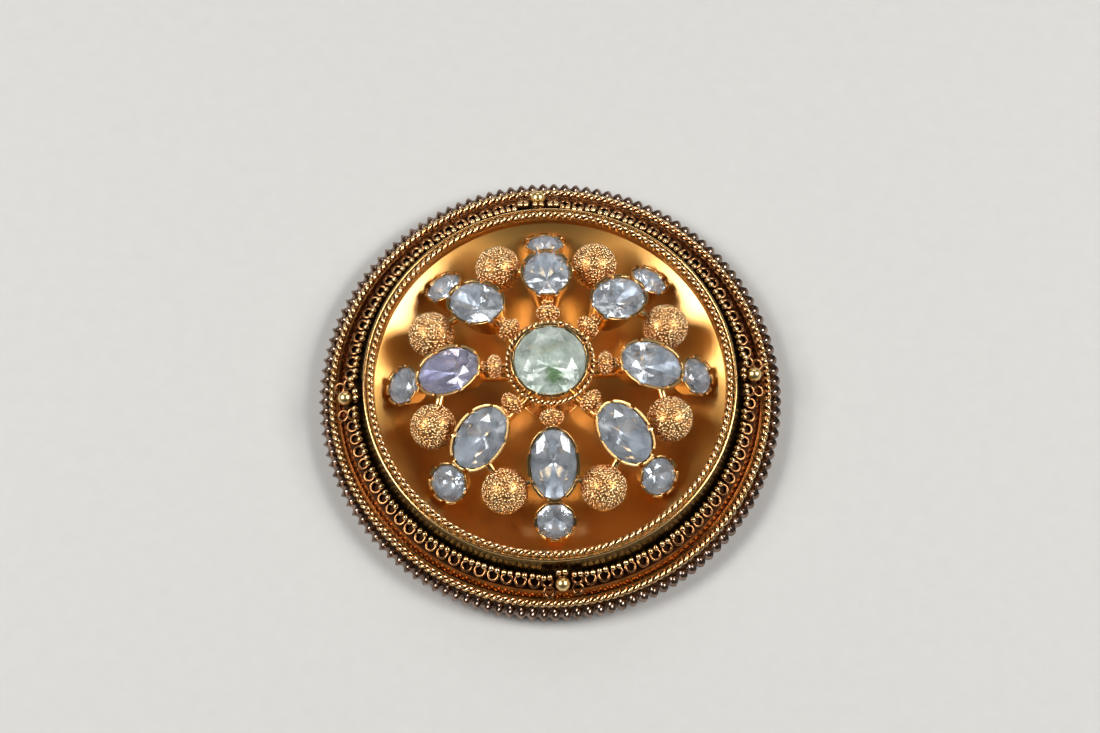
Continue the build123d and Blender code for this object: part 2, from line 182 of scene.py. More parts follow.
def ring_of(node):
    """The middle radius, the height and the thickness of a ring of wire, read from its CAD node."""
    low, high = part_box(node)
    thickness = high.z - low.z
    return Ring(high.x - thickness / 2, (high.z + low.z) / 2, thickness)


def middle_of(node):
    low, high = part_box(node)
    return (low + high) / 2


RIM = ring_of("rim_rope")
EDGE = ring_of("edge_rope")
COIL = ring_of("edge_coil")
CENTRE = ring_of("centre_rope")


class BroochSizes(bpy.types.PropertyGroup):
    """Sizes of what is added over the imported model, and the camera's place."""

    rim_rope_turns: bpy.props.IntProperty(
        name="Rim rope turns", description="Full twists of the rope round the dish", default=77, min=8
    )
    edge_rope_turns: bpy.props.IntProperty(
        name="Edge rope turns", description="Full twists of the rope beside the coil", default=97, min=8
    )
    centre_rope_turns: bpy.props.IntProperty(
        name="Centre rope turns", description="Full twists of the rope round the middle collet",
        default=22, min=4,
    )
    coil_turns: bpy.props.IntProperty(
        name="Coil turns", description="Full twists of the strip round the outer edge", default=64, min=8
    )
    coil_strip: bpy.props.FloatProperty(
        name="Coil strip", description="Thickness of the twisted strip in its middle", default=0.74 * MM,
        unit="LENGTH",
    )
    link_count: bpy.props.IntProperty(
        name="Places in the chain", description="For rings side by side, and for the quarter grains",
        default=92, min=8,
    )
    link: bpy.props.FloatProperty(
        name="Ring", description="Outer diameter of each small ring", default=1.38 * MM, unit="LENGTH"
    )
    link_wire: bpy.props.FloatProperty(
        name="Ring wire", description="Thickness of the wire of each small ring", default=0.34 * MM,
        unit="LENGTH",
    )
    link_grain: bpy.props.FloatProperty(
        name="Ring granule", description="Width of the two granules on each small ring",
        default=0.62 * MM, unit="LENGTH",
    )
    link_grain_apart: bpy.props.FloatProperty(
        name="Ring granules apart", description="Between the middles of the two granules",
        default=0.62 * MM, unit="LENGTH",
    )
    link_askew: bpy.props.FloatProperty(
        name="Ring askew", description="How far the small rings stand out of line", default=radians(7),
        subtype="ANGLE",
    )
    band_width: bpy.props.FloatProperty(
        name="Band width", description="Width of the band of rings on its seat", default=1.30 * MM,
        unit="LENGTH",
    )
    seat_slope: bpy.props.FloatProperty(
        name="Seat slope", description="How far the seat of the rings falls outwards",
        default=radians(17.2), subtype="ANGLE",
    )
    granule: bpy.props.FloatProperty(
        name="Granule", description="Diameter of the granules on the large balls", default=0.29 * MM,
        unit="LENGTH",
    )
    ringlet: bpy.props.FloatProperty(
        name="Ringlet", description="Diameter of the tiny wire rings on the large balls",
        default=0.52 * MM, unit="LENGTH",
    )
    ringlet_wire: bpy.props.FloatProperty(
        name="Ringlet wire", description="Thickness of the wire of the ringlets", default=0.16 * MM,
        unit="LENGTH",
    )
    bead_granule: bpy.props.FloatProperty(
        name="Bead granule", description="Diameter of the granules on the small beads",
        default=0.29 * MM, unit="LENGTH",
    )
    foil: bpy.props.FloatProperty(
        name="Foil", description="Thickness of the foil behind each stone", default=0.006 * MM,
        unit="LENGTH", precision=6,
    )
    lens: bpy.props.FloatProperty(
        name="Lens", description="Focal length of the camera in millimetres", default=94.9
    )
    camera_tilt: bpy.props.FloatProperty(
        name="Camera tilt", description="How far the camera leans off the brooch's upright axis",
        default=radians(19.6), subtype="ANGLE",
    )
    camera_distance: bpy.props.FloatProperty(
        name="Camera distance", description="From the camera to the middle of the dish's rim",
        default=290 * MM, unit="LENGTH",
    )
    aim_above_rim: bpy.props.FloatProperty(
        name="Aim above rim", description="How far above the middle of the rim the camera aims",
        default=1.42 * MM, unit="LENGTH",
    )


def colour_property(name, description, default):
    return bpy.props.StringProperty(name=name, description=description, default=default)


class BroochColours(bpy.types.PropertyGroup):
    """Colours as sRGB hex values."""

    satin: colour_property("Satin gilding", "Dish, under its haze", "F0B85C")
    satin_haze: colour_property("Dish haze", "Brown haze on the satin gilding", "B67E3C")
    polished: colour_property("Polished gilding", "The quarter grains and the pin", "F0CE8C")
    wall: colour_property("Wall gilding", "The smooth wall, in a greenish gold", "5C4C26")
    cup: colour_property("Cup gilding", "The cups and their lips", "F0CA86")
    wirework: colour_property("Gilt wirework", "Ropes and granules", "FCE0AC")
    red_gold: colour_property("Red gold", "Wires and cups where the gilding is redder", "E4AA6A")
    # Darker than the rings' granules: browning and painted shade
    browned_shaded_wire: colour_property("Brown wire", "The small rings of the chain", "C48E5C")
    shoulder: colour_property("Shoulder", "The sheet between the chain and the edge rope", "A05C28")
    # Also mixed into hollows by ambient occlusion as painted shade
    patina_and_shade: colour_property("Patina", "What has settled between the wires", "5E3618")
    worn_shade: colour_property("Worn shade", "The browned places on the outer coil", "66503E")
    # Near-black on the seat under the rings: patina and painted shade
    soot_and_shade: colour_property("Soot", "The darkest of the patina", "24140A")
    worn_wire: colour_property("Worn wire", "The outer coil", "B89E8E")
    stone: colour_property("Stone", "The ovals and tips", "F4F8FD")
    stone_cloud: colour_property("Stone cloud", "Clouds in the ovals and tips", "ECF2F8")
    lilac_stone: colour_property("Lilac stone", "The oval on the left", "EAE8FA")
    lilac_cloud: colour_property("Lilac cloud", "Clouds in the lilac oval", "E0DEF2")
    centre_stone: colour_property("Centre stone", "The round stone in the middle", "F0FAF0")
    centre_cloud: colour_property("Centre cloud", "Clouds in the middle stone", "ECF6EC")
    moss: colour_property("Moss", "The green inclusion in the middle stone", "4A7E2C")
    foil: colour_property("Foil", "Silver foil behind the stones", "EEF3F8")
    floor: colour_property("Floor", "The pale floor", "BAB8B4")
    floor_grain: colour_property("Floor grain", "The grain in the floor's paint", "B4B2AE")
    sky: colour_property("Sky", "The dim light from all round", "B4B9C0")


def linear(hex_colour):
    """A six-digit sRGB hex value as linear red, green, blue and alpha."""
    shares = [int(hex_colour[place:place + 2], 16) / 255 for place in (0, 2, 4)]
    return (*[s / 12.92 if s <= 0.04045 else ((s + 0.055) / 1.055) ** 2.4 for s in shares], 1.0)


def sizes():
    return bpy.context.scene.brooch_sizes


def colours():
    return bpy.context.scene.brooch_colours


def deselect():
    if bpy.context.object and bpy.context.object.mode != "OBJECT":
        bpy.ops.object.mode_set(mode="OBJECT")
    bpy.ops.object.select_all(action="DESELECT")


def take(piece):
    deselect()
    piece.select_set(True)
    bpy.context.view_layer.objects.active = piece
    return piece


def named(name):
    piece = bpy.context.object
    piece.name = name
    piece.data.name = name
    return piece


def renamed(piece, name):
    take(piece)
    return named(name)


def settle(piece):
    """Put a piece's place into its mesh."""
    take(piece)
    bpy.ops.object.transform_apply(location=True, rotation=True, scale=True)
    return piece


def modify(piece, kind, **settings):
    """Add a modifier and apply it at once."""
    take(piece)
    bpy.ops.object.modifier_add(type=kind)
    modifier = piece.modifiers[-1]
    for name, value in settings.items():
        setattr(modifier, name, value)
    bpy.ops.object.modifier_apply(modifier=modifier.name)
    return piece


def joined(pieces, name):
    deselect()
    for piece in pieces:
        piece.select_set(True)
    bpy.context.view_layer.objects.active = pieces[0]
    if len(pieces) > 1:
        bpy.ops.object.join()
    return named(name)


def tidy_mesh(piece, distance=SAME_POINT):
    """Merge doubled points and turn all faces outwards."""
    take(piece)
    bpy.ops.object.mode_set(mode="EDIT")
    bpy.ops.mesh.select_all(action="SELECT")
    bpy.ops.mesh.remove_doubles(threshold=distance)
    bpy.ops.mesh.normals_make_consistent(inside=False)
    bpy.ops.object.mode_set(mode="OBJECT")
    return piece


def smooth(piece, angle):
    take(piece)
    bpy.ops.object.shade_smooth_by_angle(angle=radians(angle))
    return piece


def copy_of(piece):
    take(piece)
    bpy.ops.object.duplicate(linked=False)
    return bpy.context.object


def copy_of_node(node, name):
    """A merged and smoothed copy of a CAD node, which then stands for it."""
    piece = renamed(copy_of(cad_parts[node]), name)
    for key in list(piece.keys()):
        if key.startswith("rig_"):
            del piece[key]
    piece.data.materials.clear()
    bpy.ops.mesh.customdata_custom_splitnormals_clear()
    return tidy_mesh(piece)


def turned(piece, angle):
    """Turn a piece about the brooch's upright axis and put the turn into its mesh."""
    piece.matrix_world = Matrix.Rotation(angle, 4, "Z") @ piece.matrix_world
    return settle(piece)


def finish_piece(piece, material_slot, *stands_for):
    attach(piece, BODY)
    if stands_for:
        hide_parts(*stands_for)
    return piece


def paint(piece, *materials):
    piece.data.materials.clear()
    for material in materials:
        piece.data.materials.append(material)
    return piece


def add_node(tree, kind, inputs=None, **settings):
    """One node with its settings; an input is a value or the output that feeds it."""
    made = tree.nodes.new(kind)
    for name, value in settings.items():
        setattr(made, name, value)
    for name, value in (inputs or {}).items():
        if isinstance(value, bpy.types.NodeSocket):
            tree.links.new(value, made.inputs[name])
        else:
            made.inputs[name].default_value = value
    return made


def new_material(name):
    """A material with a Principled shader, its tree and the object's own coordinates."""
    material = bpy.data.materials.new(name)
    material.use_nodes = True
    tree = material.node_tree
    shader = tree.nodes["Principled BSDF"]
    place = tree.nodes.new("ShaderNodeTexCoord").outputs["Object"]
    return material, tree, shader, place


def per_mm(size_mm):
    """The scale that gives a noise or cell pattern one feature in so many millimetres."""
    return 1 / (size_mm * MM)


def gilt_material(
    name, bright, dark, *, grain_mm, rough, pit_mm, pit_depth_mm, share=0.6, edge_mm=0.0, shade_and_patina_mm=0.0
):
    """Gilt silver: a metal whose colour drifts between bright and dark, with a pitted surface.

    The smaller the share, the sharper one colour ends beside the other. The edges can be rounded
    off, and what lies deep between the wires can be darkened with patina and painted shade.
    """
    material, tree, shader, place = new_material(name)
    cloud = add_node(
        tree, "ShaderNodeTexNoise", {"Vector": place, "Scale": per_mm(grain_mm), "Detail": 4.0}
    )
    spread = add_node(
        tree,
        "ShaderNodeMapRange",
        {"Value": cloud.outputs["Fac"], "From Min": 0.5 - share / 2, "From Max": 0.5 + share / 2},
    )
    tone = add_node(
        tree,
        "ShaderNodeMix",
        {0: spread.outputs["Result"], 6: linear(dark), 7: linear(bright)},
        data_type="RGBA",
    )
    colour = tone.outputs[2]
    # Painted shade: the patina colour is mixed in where ambient occlusion finds hollows, for patina and
    # for the shade that falls there
    if shade_and_patina_mm:
        open_sky = add_node(
            tree, "ShaderNodeAmbientOcclusion", {"Distance": shade_and_patina_mm * MM}, samples=4, only_local=True
        )
        unshaded_share = add_node(
            tree,
            "ShaderNodeMapRange",
            {"Value": open_sky.outputs["AO"], "From Min": SHADE_AND_PATINA_OPEN[0], "From Max": SHADE_AND_PATINA_OPEN[1]},
        )
        shaded_and_patinated = add_node(
            tree,
            "ShaderNodeMix",
            {0: unshaded_share.outputs["Result"], 6: linear(colours().patina_and_shade), 7: colour},
            data_type="RGBA",
        )
        colour = shaded_and_patinated.outputs[2]
    tree.links.new(colour, shader.inputs["Base Color"])
    gloss = add_node(
        tree,
        "ShaderNodeMapRange",
        {"Value": cloud.outputs["Fac"], "To Min": rough[1], "To Max": rough[0]},
    )
    tree.links.new(gloss.outputs["Result"], shader.inputs["Roughness"])
    shader.inputs["Metallic"].default_value = 1.0
    pits = add_node(tree, "ShaderNodeTexNoise", {"Vector": place, "Scale": per_mm(pit_mm), "Detail": 3.0})
    relief = add_node(
        tree,
        "ShaderNodeBump",
        {"Height": pits.outputs["Fac"], "Strength": 1.0, "Distance": pit_depth_mm * MM},
    )
    tree.links.new(relief.outputs["Normal"], shader.inputs["Normal"])
    if edge_mm:
        worn_edge = add_node(tree, "ShaderNodeBevel", {"Radius": edge_mm * MM}, samples=6)
        tree.links.new(worn_edge.outputs["Normal"], relief.inputs["Normal"])
    return material


def satin_gilding():
    """Gilt silver, matted in acid under old lacquer: cream sheens, amber where it mirrors itself."""
    material = gilt_material(
        "satin_gilt_silver", colours().satin, colours().satin_haze, grain_mm=7.0, rough=(0.28, 0.38),
        share=0.8, pit_mm=0.18, pit_depth_mm=0.010,
    )
    shader = material.node_tree.nodes["Principled BSDF"]
    shader.inputs["Coat Weight"].default_value = LACQUER
    shader.inputs["Coat Roughness"].default_value = LACQUER_ROUGHNESS
    return material


def polished_gilding():
    """Gilt silver, burnished: sharp dark and light reflections with faint wear."""
    return gilt_material(
        "burnished_gilt_silver", colours().polished, colours().polished, grain_mm=3.0,
        rough=(0.24, 0.34), pit_mm=0.3, pit_depth_mm=0.002,
    )


def wall_gilding():
    """Greenish gilt silver sheet, worn: mirrors its neighbours as soft dark and light bands, with patina
    and painted shade in its hollows.
    """
    return gilt_material(
        "greenish_gilt_silver", colours().wall, colours().wall, grain_mm=3.0, rough=(0.20, 0.28),
        pit_mm=0.3, pit_depth_mm=0.003, edge_mm=0.09, shade_and_patina_mm=1.6,
    )


def shoulder_gilding():
    """Gilt silver sheet, redder and bright: mirrors the rope that stands beside it."""
    return gilt_material(
        "reddish_gilt_silver", colours().shoulder, colours().patina_and_shade, grain_mm=1.2, rough=(0.12, 0.22),
        pit_mm=0.3, pit_depth_mm=0.003, edge_mm=0.09,
    )


def wirework_gilding():
    """Gilt silver wire: bright yellow where open, redder and duller in places, with patina and painted
    shade deep between the wires.
    """
    return gilt_material(
        "gilt_silver_wire", colours().wirework, colours().red_gold, grain_mm=1.4, rough=(0.18, 0.30),
        share=0.5, pit_mm=0.12, pit_depth_mm=0.003, shade_and_patina_mm=0.35,
    )


def browned_shaded_ring_wire():
    """Gilt silver wire, browned and darker than its granules as painted shade too, with patina and
    painted shade in its hollows.
    """
    return gilt_material(
        "browned_gilt_ring_wire", colours().browned_shaded_wire, colours().patina_and_shade, grain_mm=0.9,
        rough=(0.20, 0.32), pit_mm=0.12, pit_depth_mm=0.003, shade_and_patina_mm=0.35,
    )


def ball_gilding():
    """Gilt silver under the granules of a ball: redder, so that the granules stand out, with patina and
    painted shade deep between them.
    """
    return gilt_material(
        "reddish_gilt_ball", colours().red_gold, colours().satin_haze, grain_mm=0.8, rough=(0.30, 0.42),
        pit_mm=0.1, pit_depth_mm=0.004, shade_and_patina_mm=0.2,
    )


def worn_wire():
    """Gilt silver strip, rubbed and browned by wear: dark with small sharp lights, with patina and
    painted shade between its turns.
    """
    return gilt_material(
        "browned_gilt_wire", colours().worn_wire, colours().worn_shade, grain_mm=1.2, rough=(0.20, 0.30),
        pit_mm=0.15, pit_depth_mm=0.004, shade_and_patina_mm=0.6,
    )


def cup_gilding():
    """Gilt silver sheet of the cups: bright where it was rubbed, reddish in between."""
    return gilt_material(
        "gilt_silver_sheet", colours().cup, colours().red_gold, grain_mm=1.6, rough=(0.16, 0.28),
        share=0.7, pit_mm=0.4, pit_depth_mm=0.003, edge_mm=0.11,
    )


def seat_shade_and_patina():
    """Dirt and oxide left under the small rings, near-black as painted shade too: brown and dull."""
    return gilt_material(
        "browned_silver", colours().soot_and_shade, colours().soot_and_shade, grain_mm=0.5, rough=(0.40, 0.55),
        pit_mm=0.1, pit_depth_mm=0.006,
    )


def stone_material(name, colour, cloud, cell_mm, clear=CLEAR_TO_MILKY):
    """Beryl, cut and worn by hand: clear in places, milky where clouds and feathers lie in it."""
    material, tree, shader, place = new_material(name)
    cells = add_node(
        tree, "ShaderNodeTexVoronoi", {"Vector": place, "Scale": per_mm(cell_mm)}, feature="SMOOTH_F1"
    )
    feathers = add_node(
        tree,
        "ShaderNodeTexNoise",
        {"Vector": place, "Scale": per_mm(FEATHER_MM), "Detail": 6.0, "Distortion": 0.6},
    )
    both = add_node(
        tree,
        "ShaderNodeMath",
        {0: cells.outputs["Distance"], 1: feathers.outputs["Fac"]},
        operation="MULTIPLY",
    )
    share = add_node(
        tree,
        "ShaderNodeMapRange",
        {"Value": both.outputs[0], "From Min": CLOUD_SPREAD[0], "From Max": CLOUD_SPREAD[1]},
    )
    tone = add_node(
        tree,
        "ShaderNodeMix",
        {0: share.outputs["Result"], 6: linear(colour), 7: linear(cloud)},
        data_type="RGBA",
    )
    tree.links.new(tone.outputs[2], shader.inputs["Base Color"])
    milky = add_node(
        tree,
        "ShaderNodeMapRange",
        {"Value": share.outputs["Result"], "To Min": clear[0], "To Max": clear[1]},
    )
    tree.links.new(milky.outputs["Result"], shader.inputs["Transmission Weight"])
    relief = add_node(
        tree,
        "ShaderNodeBump",
        {"Height": feathers.outputs["Fac"], "Strength": 1.0, "Distance": FACET_RIPPLE},
    )
    tree.links.new(relief.outputs["Normal"], shader.inputs["Normal"])
    shader.inputs["IOR"].default_value = BERYL_IOR
    shader.inputs["Roughness"].default_value = 0.03
    return material, tree, shader, place, tone


def pale_stone():
    return stone_material("blue_beryl", colours().stone, colours().stone_cloud, cell_mm=1.1)[0]


def lilac_stone():
    return stone_material("lilac_beryl", colours().lilac_stone, colours().lilac_cloud, cell_mm=1.1)[0]


def green_stone():
    """Pale green beryl with a mossy patch low in it."""
    material, tree, shader, place, tone = stone_material(
        "green_beryl", colours().centre_stone, colours().centre_cloud, cell_mm=1.5,
        clear=CENTRE_CLEAR_TO_MILKY,
    )
    flat = add_node(tree, "ShaderNodeVectorMath", {0: place, 1: (1, 1, 0)}, operation="MULTIPLY")
    apart = add_node(
        tree, "ShaderNodeVectorMath", {0: flat.outputs["Vector"], 1: MOSS_AT}, operation="DISTANCE"
    )
    ragged = add_node(
        tree, "ShaderNodeTexNoise", {"Vector": place, "Scale": per_mm(MOSS_FLECK_MM), "Detail": 4.0}
    )
    reach = add_node(
        tree,
        "ShaderNodeMath",
        {0: ragged.outputs["Fac"], 1: MOSS_RAGGED, 2: apart.outputs["Value"]},
        operation="MULTIPLY_ADD",
    )
    inside = add_node(
        tree,
        "ShaderNodeMapRange",
        {
            "Value": reach.outputs[0], "From Min": MOSS_THINS, "From Max": MOSS_ENDS,
            "To Min": MOSS_SHARE, "To Max": 0.0,
        },
    )
    mossy = add_node(
        tree,
        "ShaderNodeMix",
        {0: inside.outputs["Result"], 6: tone.outputs[2], 7: linear(colours().moss)},
        data_type="RGBA",
    )
    tree.links.new(mossy.outputs[2], shader.inputs["Base Color"])
    return material


def silver_foil():
    """Silver foil, crumpled a little by hand: throws the light back through the stone."""
    material, tree, shader, place = new_material("silver_foil")
    creases = add_node(
        tree, "ShaderNodeTexNoise", {"Vector": place, "Scale": per_mm(CREASE_MM), "Detail": 3.0}
    )
    relief = add_node(
        tree,
        "ShaderNodeBump",
        {"Height": creases.outputs["Fac"], "Strength": 1.0, "Distance": CREASE_DEPTH},
    )
    tree.links.new(relief.outputs["Normal"], shader.inputs["Normal"])
    shader.inputs["Base Color"].default_value = linear(colours().foil)
    shader.inputs["Metallic"].default_value = 1.0
    shader.inputs["Roughness"].default_value = 0.34
    return material


def floor_paint():
    """Matt paint on board: pale and even, with a barely seen grain."""
    material, tree, shader, place = new_material("matt_paint")
    grain = add_node(
        tree, "ShaderNodeTexNoise", {"Vector": place, "Scale": per_mm(1.5), "Detail": 2.0}
    )
    tone = add_node(
        tree,
        "ShaderNodeMix",
        {0: grain.outputs["Fac"], 6: linear(colours().floor), 7: linear(colours().floor_grain)},
        data_type="RGBA",
    )
    tree.links.new(tone.outputs[2], shader.inputs["Base Color"])
    shader.inputs["Roughness"].default_value = 0.8
    return material


def bent_to_ring(piece, ring):
    """Bend a piece that runs along X round the upright axis, and close it."""
    deselect()
    bpy.ops.curve.primitive_bezier_circle_add(radius=ring.radius, location=(0, 0, ring.height))
    track = bpy.context.object
    track.data.resolution_u = TRACK_RESOLUTION
    round_length = track.data.splines[0].calc_length(resolution=TRACK_RESOLUTION)
    piece.scale = (round_length / (2 * pi * ring.radius), 1, 1)
    settle(piece)
    piece.location = track.location
    modify(piece, "CURVE", object=track, deform_axis="POS_X")
    settle(piece)
    bpy.data.objects.remove(track)
    return tidy_mesh(piece, SEAM)


def pitch_of(ring, turns):
    """The length of one turn of the twist."""
    return 2 * pi * ring.radius / turns


def twisted_round(piece, ring, turns, steps):
    """Twist a flat section left-handed for one turn, repeat that, and bend it to a ring."""
    pitch = pitch_of(ring, turns)
    modify(
        piece, "SCREW", axis="X", angle=LEFT_HAND * 2 * pi, screw_offset=pitch, steps=steps,
        render_steps=steps, use_merge_vertices=False,
    )
    modify(
        piece, "ARRAY", count=turns, use_relative_offset=False, use_constant_offset=True,
        constant_offset_displace=(pitch, 0, 0), use_merge_vertices=True, merge_threshold=SEAM,
    )
    return bent_to_ring(piece, ring)


def twisted_rope(name, ring, turns):
    """Round wires that lie side by side, twisted into a rope and bent to a ring."""
    wire = ring.thickness / ROPE_WIRES
    reach = ring.thickness / 2 - wire / 2
    lean = atan2(2 * pi * reach, pitch_of(ring, turns))
    sections = []
    for number in range(ROPE_WIRES):
        deselect()
        bpy.ops.mesh.primitive_circle_add(vertices=ROPE_SIDES, radius=wire / 2)
        section = bpy.context.object
        # Turned by half a side, so that the wires don't share an edge where they touch
        section.matrix_world = (
            Matrix.Rotation(2 * pi * number / ROPE_WIRES, 4, "X")
            @ Matrix.Translation((0, reach, 0))
            @ Matrix.Rotation(pi / 2 - LEFT_HAND * lean, 4, "Y")
            @ Matrix.Rotation(pi / ROPE_SIDES, 4, "Z")
        )
        sections.append(settle(section))
    return smooth(twisted_round(joined(sections, name), ring, turns, ROPE_STEPS), ROUND)


def twisted_strip(name, ring, thickness, turns):
    """A strip, thin at its edges, twisted and bent to a ring."""
    deselect()
    bpy.ops.mesh.primitive_circle_add(
        vertices=STRIP_SIDES, radius=ring.thickness / 2, rotation=(0, pi / 2, 0)
    )
    piece = settle(named(name))
    piece.scale = (1, thickness / ring.thickness, 1)
    settle(piece)
    return smooth(twisted_round(piece, ring, turns, STRIP_STEPS), STRIP_CREASE)


def new_group(name, inputs):
    """An empty geometry node group, its inputs and the node that gives them."""
    tree = bpy.data.node_groups.new(name, "GeometryNodeTree")
    tree.interface.new_socket("Geometry", in_out="INPUT", socket_type="NodeSocketGeometry")
    for label, kind in inputs.items():
        tree.interface.new_socket(label, in_out="INPUT", socket_type=f"NodeSocket{kind}")
    tree.interface.new_socket("Geometry", in_out="OUTPUT", socket_type="NodeSocketGeometry")
    return tree, add_node(tree, "NodeGroupInput")


def copies_on(tree, given, points, turn, spread, taken=True):
    """End a group: copies of its shape on the points taken, turned, of mixed sizes, made real."""
    shape = add_node(tree, "GeometryNodeObjectInfo", {"Object": given.outputs["Shape"]})
    size = add_node(
        tree, "FunctionNodeRandomValue", {2: spread[0], 3: spread[1], "Seed": given.outputs["Seed"]}
    )
    copies = add_node(
        tree,
        "GeometryNodeInstanceOnPoints",
        {
            "Points": points,
            "Selection": taken,
            "Instance": shape.outputs["Geometry"],
            "Rotation": turn.outputs["Rotation"],
            "Scale": size.outputs[1],
        },
    )
    real = add_node(tree, "GeometryNodeRealizeInstances", {"Geometry": copies.outputs["Instances"]})
    add_node(tree, "NodeGroupOutput", {"Geometry": real.outputs["Geometry"]})


def random_turn(tree, given, first, round_z):
    """Turn each copy from its first rotation by a small lean, and by up to so much about Z."""
    back = add_node(tree, "ShaderNodeMath", {0: given.outputs["Lean"], 1: -1.0}, operation="MULTIPLY")
    low = add_node(
        tree, "ShaderNodeCombineXYZ", {"X": back.outputs[0], "Y": back.outputs[0], "Z": -round_z}
    )
    high = add_node(
        tree,
        "ShaderNodeCombineXYZ",
        {"X": given.outputs["Lean"], "Y": given.outputs["Lean"], "Z": round_z},
    )
    spin = add_node(
        tree,
        "FunctionNodeRandomValue",
        {0: low.outputs[0], 1: high.outputs[0], "Seed": given.outputs["Seed"]},
        data_type="FLOAT_VECTOR",
    )
    return add_node(
        tree,
        "FunctionNodeRotateRotation",
        {"Rotation": first, "Rotate By": spin.outputs[0]},
        rotation_space="LOCAL",
    )


def scatter_group():
    """Geometry nodes that sow copies of one small shape over a surface, apart from each other."""
    name = "sown over a surface"
    if name in bpy.data.node_groups:
        return bpy.data.node_groups[name]
    tree, given = new_group(name, {"Shape": "Object", "Apart": "Float", "Seed": "Int", "Lean": "Float"})
    points = add_node(
        tree,
        "GeometryNodeDistributePointsOnFaces",
        {
            "Mesh": given.outputs["Geometry"],
            "Distance Min": given.outputs["Apart"],
            "Density Max": SOWING_DENSITY,
            "Seed": given.outputs["Seed"],
        },
        distribute_method="POISSON",
    )
    turn = random_turn(tree, given, points.outputs["Rotation"], pi)
    copies_on(tree, given, points.outputs["Points"], turn, GRANULE_SPREAD)
    return tree


def circle_group():
    """Geometry nodes that set copies of one shape round a ring, each a little out of line.

    Of every so many places, the first few can be left out.
    """
    name = "set round a ring"
    if name in bpy.data.node_groups:
        return bpy.data.node_groups[name]
    tree, given = new_group(
        name,
        {
            "Shape": "Object", "Count": "Int", "Radius": "Float", "Seed": "Int", "Lean": "Float",
            "Every": "Int", "Left out": "Int",
        },
    )
    circle = add_node(
        tree,
        "GeometryNodeMeshCircle",
        {"Vertices": given.outputs["Count"], "Radius": given.outputs["Radius"]},
    )
    number = add_node(tree, "GeometryNodeInputIndex")
    step = add_node(tree, "ShaderNodeMath", {0: 2 * pi, 1: given.outputs["Count"]}, operation="DIVIDE")
    angle = add_node(
        tree,
        "ShaderNodeMath",
        {0: number.outputs["Index"], 1: step.outputs[0]},
        operation="MULTIPLY",
    )
    facing = add_node(tree, "ShaderNodeCombineXYZ", {"Z": angle.outputs[0]})
    turn = random_turn(tree, given, facing.outputs[0], LINK_TWIST)
    after = add_node(tree, "ShaderNodeMath", {0: number.outputs["Index"], 1: 1.0}, operation="ADD")
    round_count = add_node(
        tree, "ShaderNodeMath", {0: after.outputs[0], 1: given.outputs["Every"]}, operation="MODULO"
    )
    taken = add_node(
        tree,
        "FunctionNodeCompare",
        {0: round_count.outputs[0], 1: given.outputs["Left out"]},
        operation="GREATER_EQUAL",
    )
    copies_on(tree, given, circle.outputs["Mesh"], turn, LINK_SPREAD, taken.outputs[0])
    return tree


def run_group(piece, group, values):
    """Apply a node group to a piece with these inputs."""
    take(piece)
    modifier = piece.modifiers.new(group.name, "NODES")
    modifier.node_group = group
    for item in group.interface.items_tree:
        if item.in_out == "INPUT" and item.name in values:
            modifier[item.identifier] = values[item.name]
    bpy.ops.object.modifier_apply(modifier=modifier.name)
    return piece


def sown(surface, shape, apart, seed, lean=0.0):
    """A new piece: copies of a shape over a surface."""
    values = {"Shape": shape, "Apart": apart, "Seed": seed, "Lean": lean}
    return run_group(copy_of(surface), scatter_group(), values)


def lobe(place, size):
    """One granule, with its size along each axis."""
    deselect()
    bpy.ops.mesh.primitive_uv_sphere_add(segments=8, ring_count=5, radius=0.5, location=place)
    bpy.context.object.scale = size
    return settle(bpy.context.object)


def small_ring(place, across, wire, lean=0.0):
    """One ring of wire in the plane of its seat, or leaning up from it."""
    deselect()
    bpy.ops.mesh.primitive_torus_add(
        major_radius=(across - wire) / 2, minor_radius=wire / 2, major_segments=16, minor_segments=6,
        location=place, rotation=(0, lean, 0),
    )
    return settle(bpy.context.object)


def ring_with_grains(place, lean, wire, bright):
    """A small ring of wire, X outwards, leaning outwards, with two granules on its inner side."""
    grain = sizes().link_grain
    # The ring takes the darker wire, for browning and painted shade; its granules take the bright one
    parts = [paint(small_ring((0, 0, 0), sizes().link, sizes().link_wire), wire)]
    for side in (-1, 1):
        place_of_grain = (-GRAIN_INWARD * sizes().link, side * sizes().link_grain_apart / 2, grain / 2)
        parts.append(paint(lobe(place_of_grain, (LONG_GRAIN * grain, grain, grain)), bright))
    piece = joined(parts, "ring_with_grains")
    piece.matrix_world = Matrix.Translation(place) @ Matrix.Rotation(lean, 4, "Y")
    return settle(piece)


def chain_link(seat_drop, wire, bright):
    """One link of the chain, sloped as its seat is."""
    slope = sizes().seat_slope
    up = seat_drop + sizes().link_wire / 2
    piece = ring_with_grains((up * sin(slope), 0, up * cos(slope)), slope, wire, bright)
    return smooth(renamed(piece, "chain_link"), ROUND)


def grain_setting(seat_drop, wire, bright):
    """The rings that crowd round one quarter grain."""
    half = sizes().link / 2
    up = seat_drop + sizes().link_wire / 2
    parts = []
    for ring in CROWDING_RINGS:
        for side in ring.sides:
            place = (ring.outwards * half, side * ring.aside * half, up + ring.up * half)
            if ring.grained:
                parts.append(ring_with_grains(place, ring.lean, wire, bright))
            else:
                plain = small_ring(place, sizes().link, sizes().link_wire, ring.lean)
                parts.append(paint(plain, wire))
    return smooth(joined(parts, "grain_setting"), ROUND)


def granule_shape(size, material):
    return paint(smooth(renamed(lobe((0, 0, 0), (size, size, size)), "granule"), ROUND), material)


def ringlet_shape(size, wire, material):
    deselect()
    bpy.ops.mesh.primitive_torus_add(
        major_radius=(size - wire) / 2, minor_radius=wire / 2, major_segments=9, minor_segments=5
    )
    return paint(smooth(named("ringlet"), ROUND), material)


